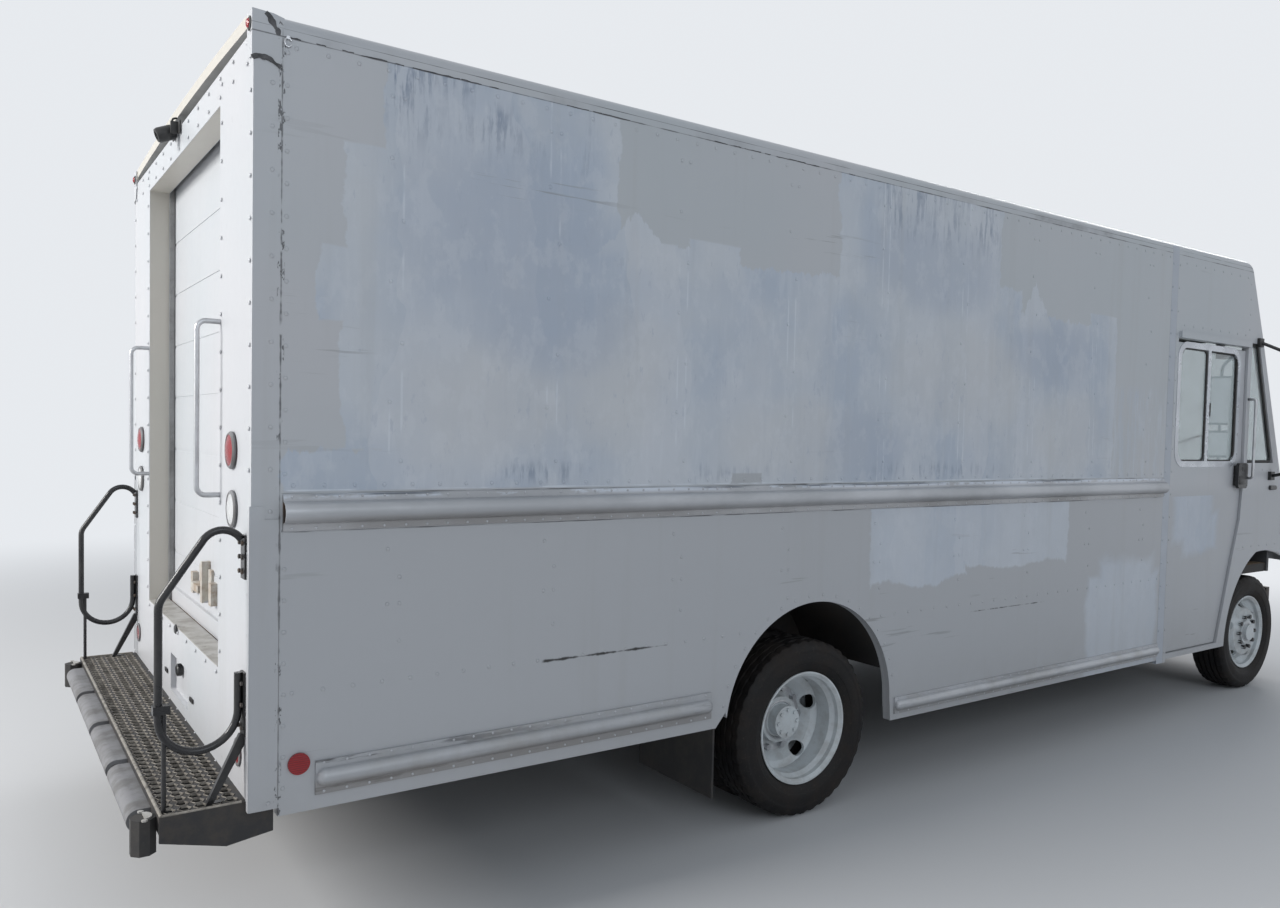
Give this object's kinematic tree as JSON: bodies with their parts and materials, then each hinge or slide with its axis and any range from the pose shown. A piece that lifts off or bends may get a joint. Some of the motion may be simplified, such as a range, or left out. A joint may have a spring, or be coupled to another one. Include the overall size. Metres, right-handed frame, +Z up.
{
  "type": "step van",
  "caption": "Walk-in delivery van: tall box body with roll-up rear door, sliding cab doors, rear step, short hood, steered front and twin rear wheels.",
  "frame": {"origin": "on the ground under the middle of the van's length and width", "axes": "+X forward, +Y to the driver's left, +Z up"},
  "size_m": [8.04, 3.16, 3.04],
  "materials": {
    "white_paint": "weathered white paint on aluminium sheet, satin",
    "alloy": "dull mill aluminium extrusion",
    "rim_paint": "white enamel, dusty",
    "tyre": "dull black rubber",
    "rubber": "dull black rubber",
    "grey_rubber": "weathered grey rubber",
    "chassis": "black chassis paint, dusty",
    "cast": "bare casting, oily",
    "step_steel": "dark galvanised grating",
    "rail_black": "black enamel, rubbed",
    "glass": "clear tinted safety glass",
    "lamp_red": "red lens",
    "lamp_clear": "clear fluted lens",
    "interior": "grey interior paint",
    "floor_board": "worn floor boards over steel sills",
    "dash": "grained black plastic",
    "seat": "dark woven cover",
    "mirror_shell": "black moulded shell"
  },
  "bodies": {
    "body": {"bulkhead": "interior", "cab_glass": "glass", "cab_side_left": "white_paint", "cab_side_right": "white_paint", "dashboard": "dash", "driveline": "cast", "driver_seat": "seat", "engine_cover": "dash", "exhaust": "cast", "floor": "floor_board", "front_axle": "cast", "front_bumper": "chassis", "front_cap": "white_paint", "fuel_tank": "chassis", "grille": "rail_black", "handrails": "rail_black", "headlamps": "lamp_clear", "ladder_frame": "chassis", "leaf_springs": "chassis", "mirrors": "mirror_shell", "mud_flaps": "rubber", "nose": "white_paint", "rear_axle": "cast", "rear_frame": "white_paint", "rear_lamps": "lamp_red", "roll_door": "white_paint", "roof_panel": "white_paint", "rub_rails": "alloy", "side_lamps": "rail_black", "side_panel_left": "white_paint", "side_panel_right": "white_paint", "step_bumpers": "grey_rubber", "step_deck": "step_steel"},
    "knuckle_r": {"knuckle_right": "cast"},
    "knuckle_l": {"knuckle_left": "cast"},
    "front_wheel_r": {"front_rim_right": "rim_paint", "front_tyre_right": "tyre"},
    "front_wheel_l": {"front_rim_left": "rim_paint", "front_tyre_left": "tyre"},
    "rear_wheels_r": {"rear_rims_right": "rim_paint", "rear_tyres_right": "tyre"},
    "rear_wheels_l": {"rear_rims_left": "rim_paint", "rear_tyres_left": "tyre"},
    "door_r": {"cab_door_right": "white_paint", "door_glass_right": "glass"},
    "door_l": {"cab_door_left": "white_paint", "door_glass_left": "glass"},
    "hood_lid": {"hood": "white_paint"},
    "steering": {"steering_wheel": "dash"}
  },
  "joints": [
    {"name": "steering_turn", "type": "hinge", "parent": "body", "child": "steering", "pos_m": [3.162, 0.62, 1.402], "axis": [-0.8192, 0, 0.5736], "range_deg": [-545, 545]},
    {"name": "steer_right", "type": "hinge", "parent": "body", "child": "knuckle_r", "pos_m": [3.185, -0.9, 0.408], "axis": [0, 0, 1], "range_deg": [-35, 35]},
    {"name": "steer_left", "type": "hinge", "parent": "body", "child": "knuckle_l", "pos_m": [3.185, 0.9, 0.408], "axis": [0, 0, 1], "range_deg": [-35, 35]},
    {"name": "front_spin_right", "type": "hinge", "parent": "knuckle_r", "child": "front_wheel_r", "pos_m": [3.185, -0.9, 0.408], "axis": [0, 1, 0], "continuous": true},
    {"name": "front_spin_left", "type": "hinge", "parent": "knuckle_l", "child": "front_wheel_l", "pos_m": [3.185, 0.9, 0.408], "axis": [0, 1, 0], "continuous": true},
    {"name": "rear_spin_right", "type": "hinge", "parent": "body", "child": "rear_wheels_r", "pos_m": [-1.25, -0.9, 0.408], "axis": [0, 1, 0], "continuous": true},
    {"name": "rear_spin_left", "type": "hinge", "parent": "body", "child": "rear_wheels_l", "pos_m": [-1.25, 0.9, 0.408], "axis": [0, 1, 0], "continuous": true},
    {"name": "door_slide_right", "type": "slide", "parent": "body", "child": "door_r", "axis": [-1, 0, 0], "range_m": [0, 0.82]},
    {"name": "door_slide_left", "type": "slide", "parent": "body", "child": "door_l", "axis": [-1, 0, 0], "range_m": [0, 0.82]},
    {"name": "hood_hinge", "type": "hinge", "parent": "body", "child": "hood_lid", "pos_m": [3.463, 0, 1.55007], "axis": [0, -1, 0], "range_deg": [0, 70]}
  ],
  "couplings": [
    {"joint": "steer_left", "follows": "steer_right", "ratio": 1},
    {"joint": "steering_turn", "follows": "steer_right", "ratio": 15.5}
  ]
}
